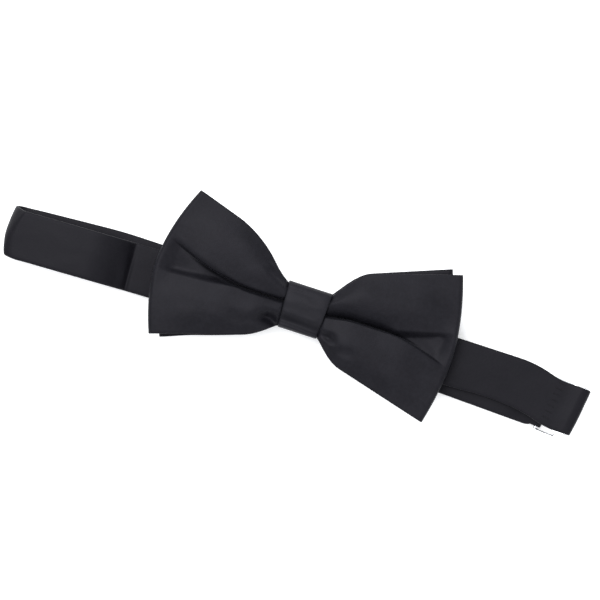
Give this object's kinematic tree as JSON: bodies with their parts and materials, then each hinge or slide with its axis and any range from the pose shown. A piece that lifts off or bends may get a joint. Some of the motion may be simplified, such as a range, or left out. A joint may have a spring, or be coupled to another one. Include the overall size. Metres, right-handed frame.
{
  "type": "bow tie",
  "caption": "Pre-tied satin bow tie: gathered two-layer bow and wrapped knot on a hooked, length-adjustable neck strap, laid flat with its loop closed.",
  "frame": {"origin": "on the table, on the underside of the back strap, behind the middle of the knot", "axes": "+X along the neck strap towards the hook, +Y up the bow's height, +Z away from the table, towards the bow's front"},
  "size_m": [0.2341, 0.0592, 0.0184],
  "materials": {
    "satin": "black satin, soft sheen",
    "knot_satin": "black satin, soft sheen, pulled tight",
    "strap_satin": "black satin, soft sheen",
    "interlining": "non-woven, matt",
    "thread": "sewing thread",
    "nickel": "nickel plated, polished"
  },
  "bodies": {
    "back_strap": {"back_strap": "strap_satin", "eye_strap": "strap_satin", "back_strap_interlining": "interlining", "return_strap": "strap_satin"},
    "front_strap": {"front_strap": "strap_satin", "hook_strap": "strap_satin", "hook_loop": "strap_satin", "front_strap_interlining": "interlining", "hook_stitches": "thread"},
    "bow": {"front_bow": "satin", "front_bow_interlining": "interlining", "back_bow": "satin", "back_bow_interlining": "interlining", "waist_thread": "thread", "knot_wrap": "knot_satin", "knot_padding": "interlining", "knot_stitches": "thread"},
    "hook": {"hook": "nickel"},
    "eye": {"eye": "nickel"},
    "slider": {"slide_adjuster": "nickel", "slider_loop": "strap_satin", "slider_stitches": "thread"}
  },
  "joints": [
    {"name": "loop_open", "type": "hinge", "parent": "back_strap", "child": "front_strap", "pos_m": [-0.121, -0.0063, 0.005], "axis": [0, -1, 0], "range_deg": [0, 165]},
    {"name": "bow_slide", "type": "slide", "parent": "front_strap", "child": "bow", "axis": [1, 0, 0], "range_m": [-0.006, 0.006]},
    {"name": "hook_swing", "type": "hinge", "parent": "front_strap", "child": "hook", "pos_m": [0.1117, -0.0047, 0.0054], "axis": [-0.1392, -0.9903, 0], "range_deg": [0, 175]},
    {"name": "eye_swing", "type": "hinge", "parent": "back_strap", "child": "eye", "pos_m": [0.09975, -0.0056, 0.00205], "axis": [-0.0872, -0.9962, 0], "range_deg": [0, 165]},
    {"name": "slider_slide", "type": "slide", "parent": "back_strap", "child": "slider", "axis": [0.9994, -0.0349, 0], "range_m": [-0.003, 0.036], "deforming": ["return_strap"]}
  ],
  "couplings": [
    {"joint": "hook_swing", "follows": "loop_open", "ratio": 1.06},
    {"joint": "eye_swing", "follows": "loop_open", "ratio": 0.9}
  ]
}
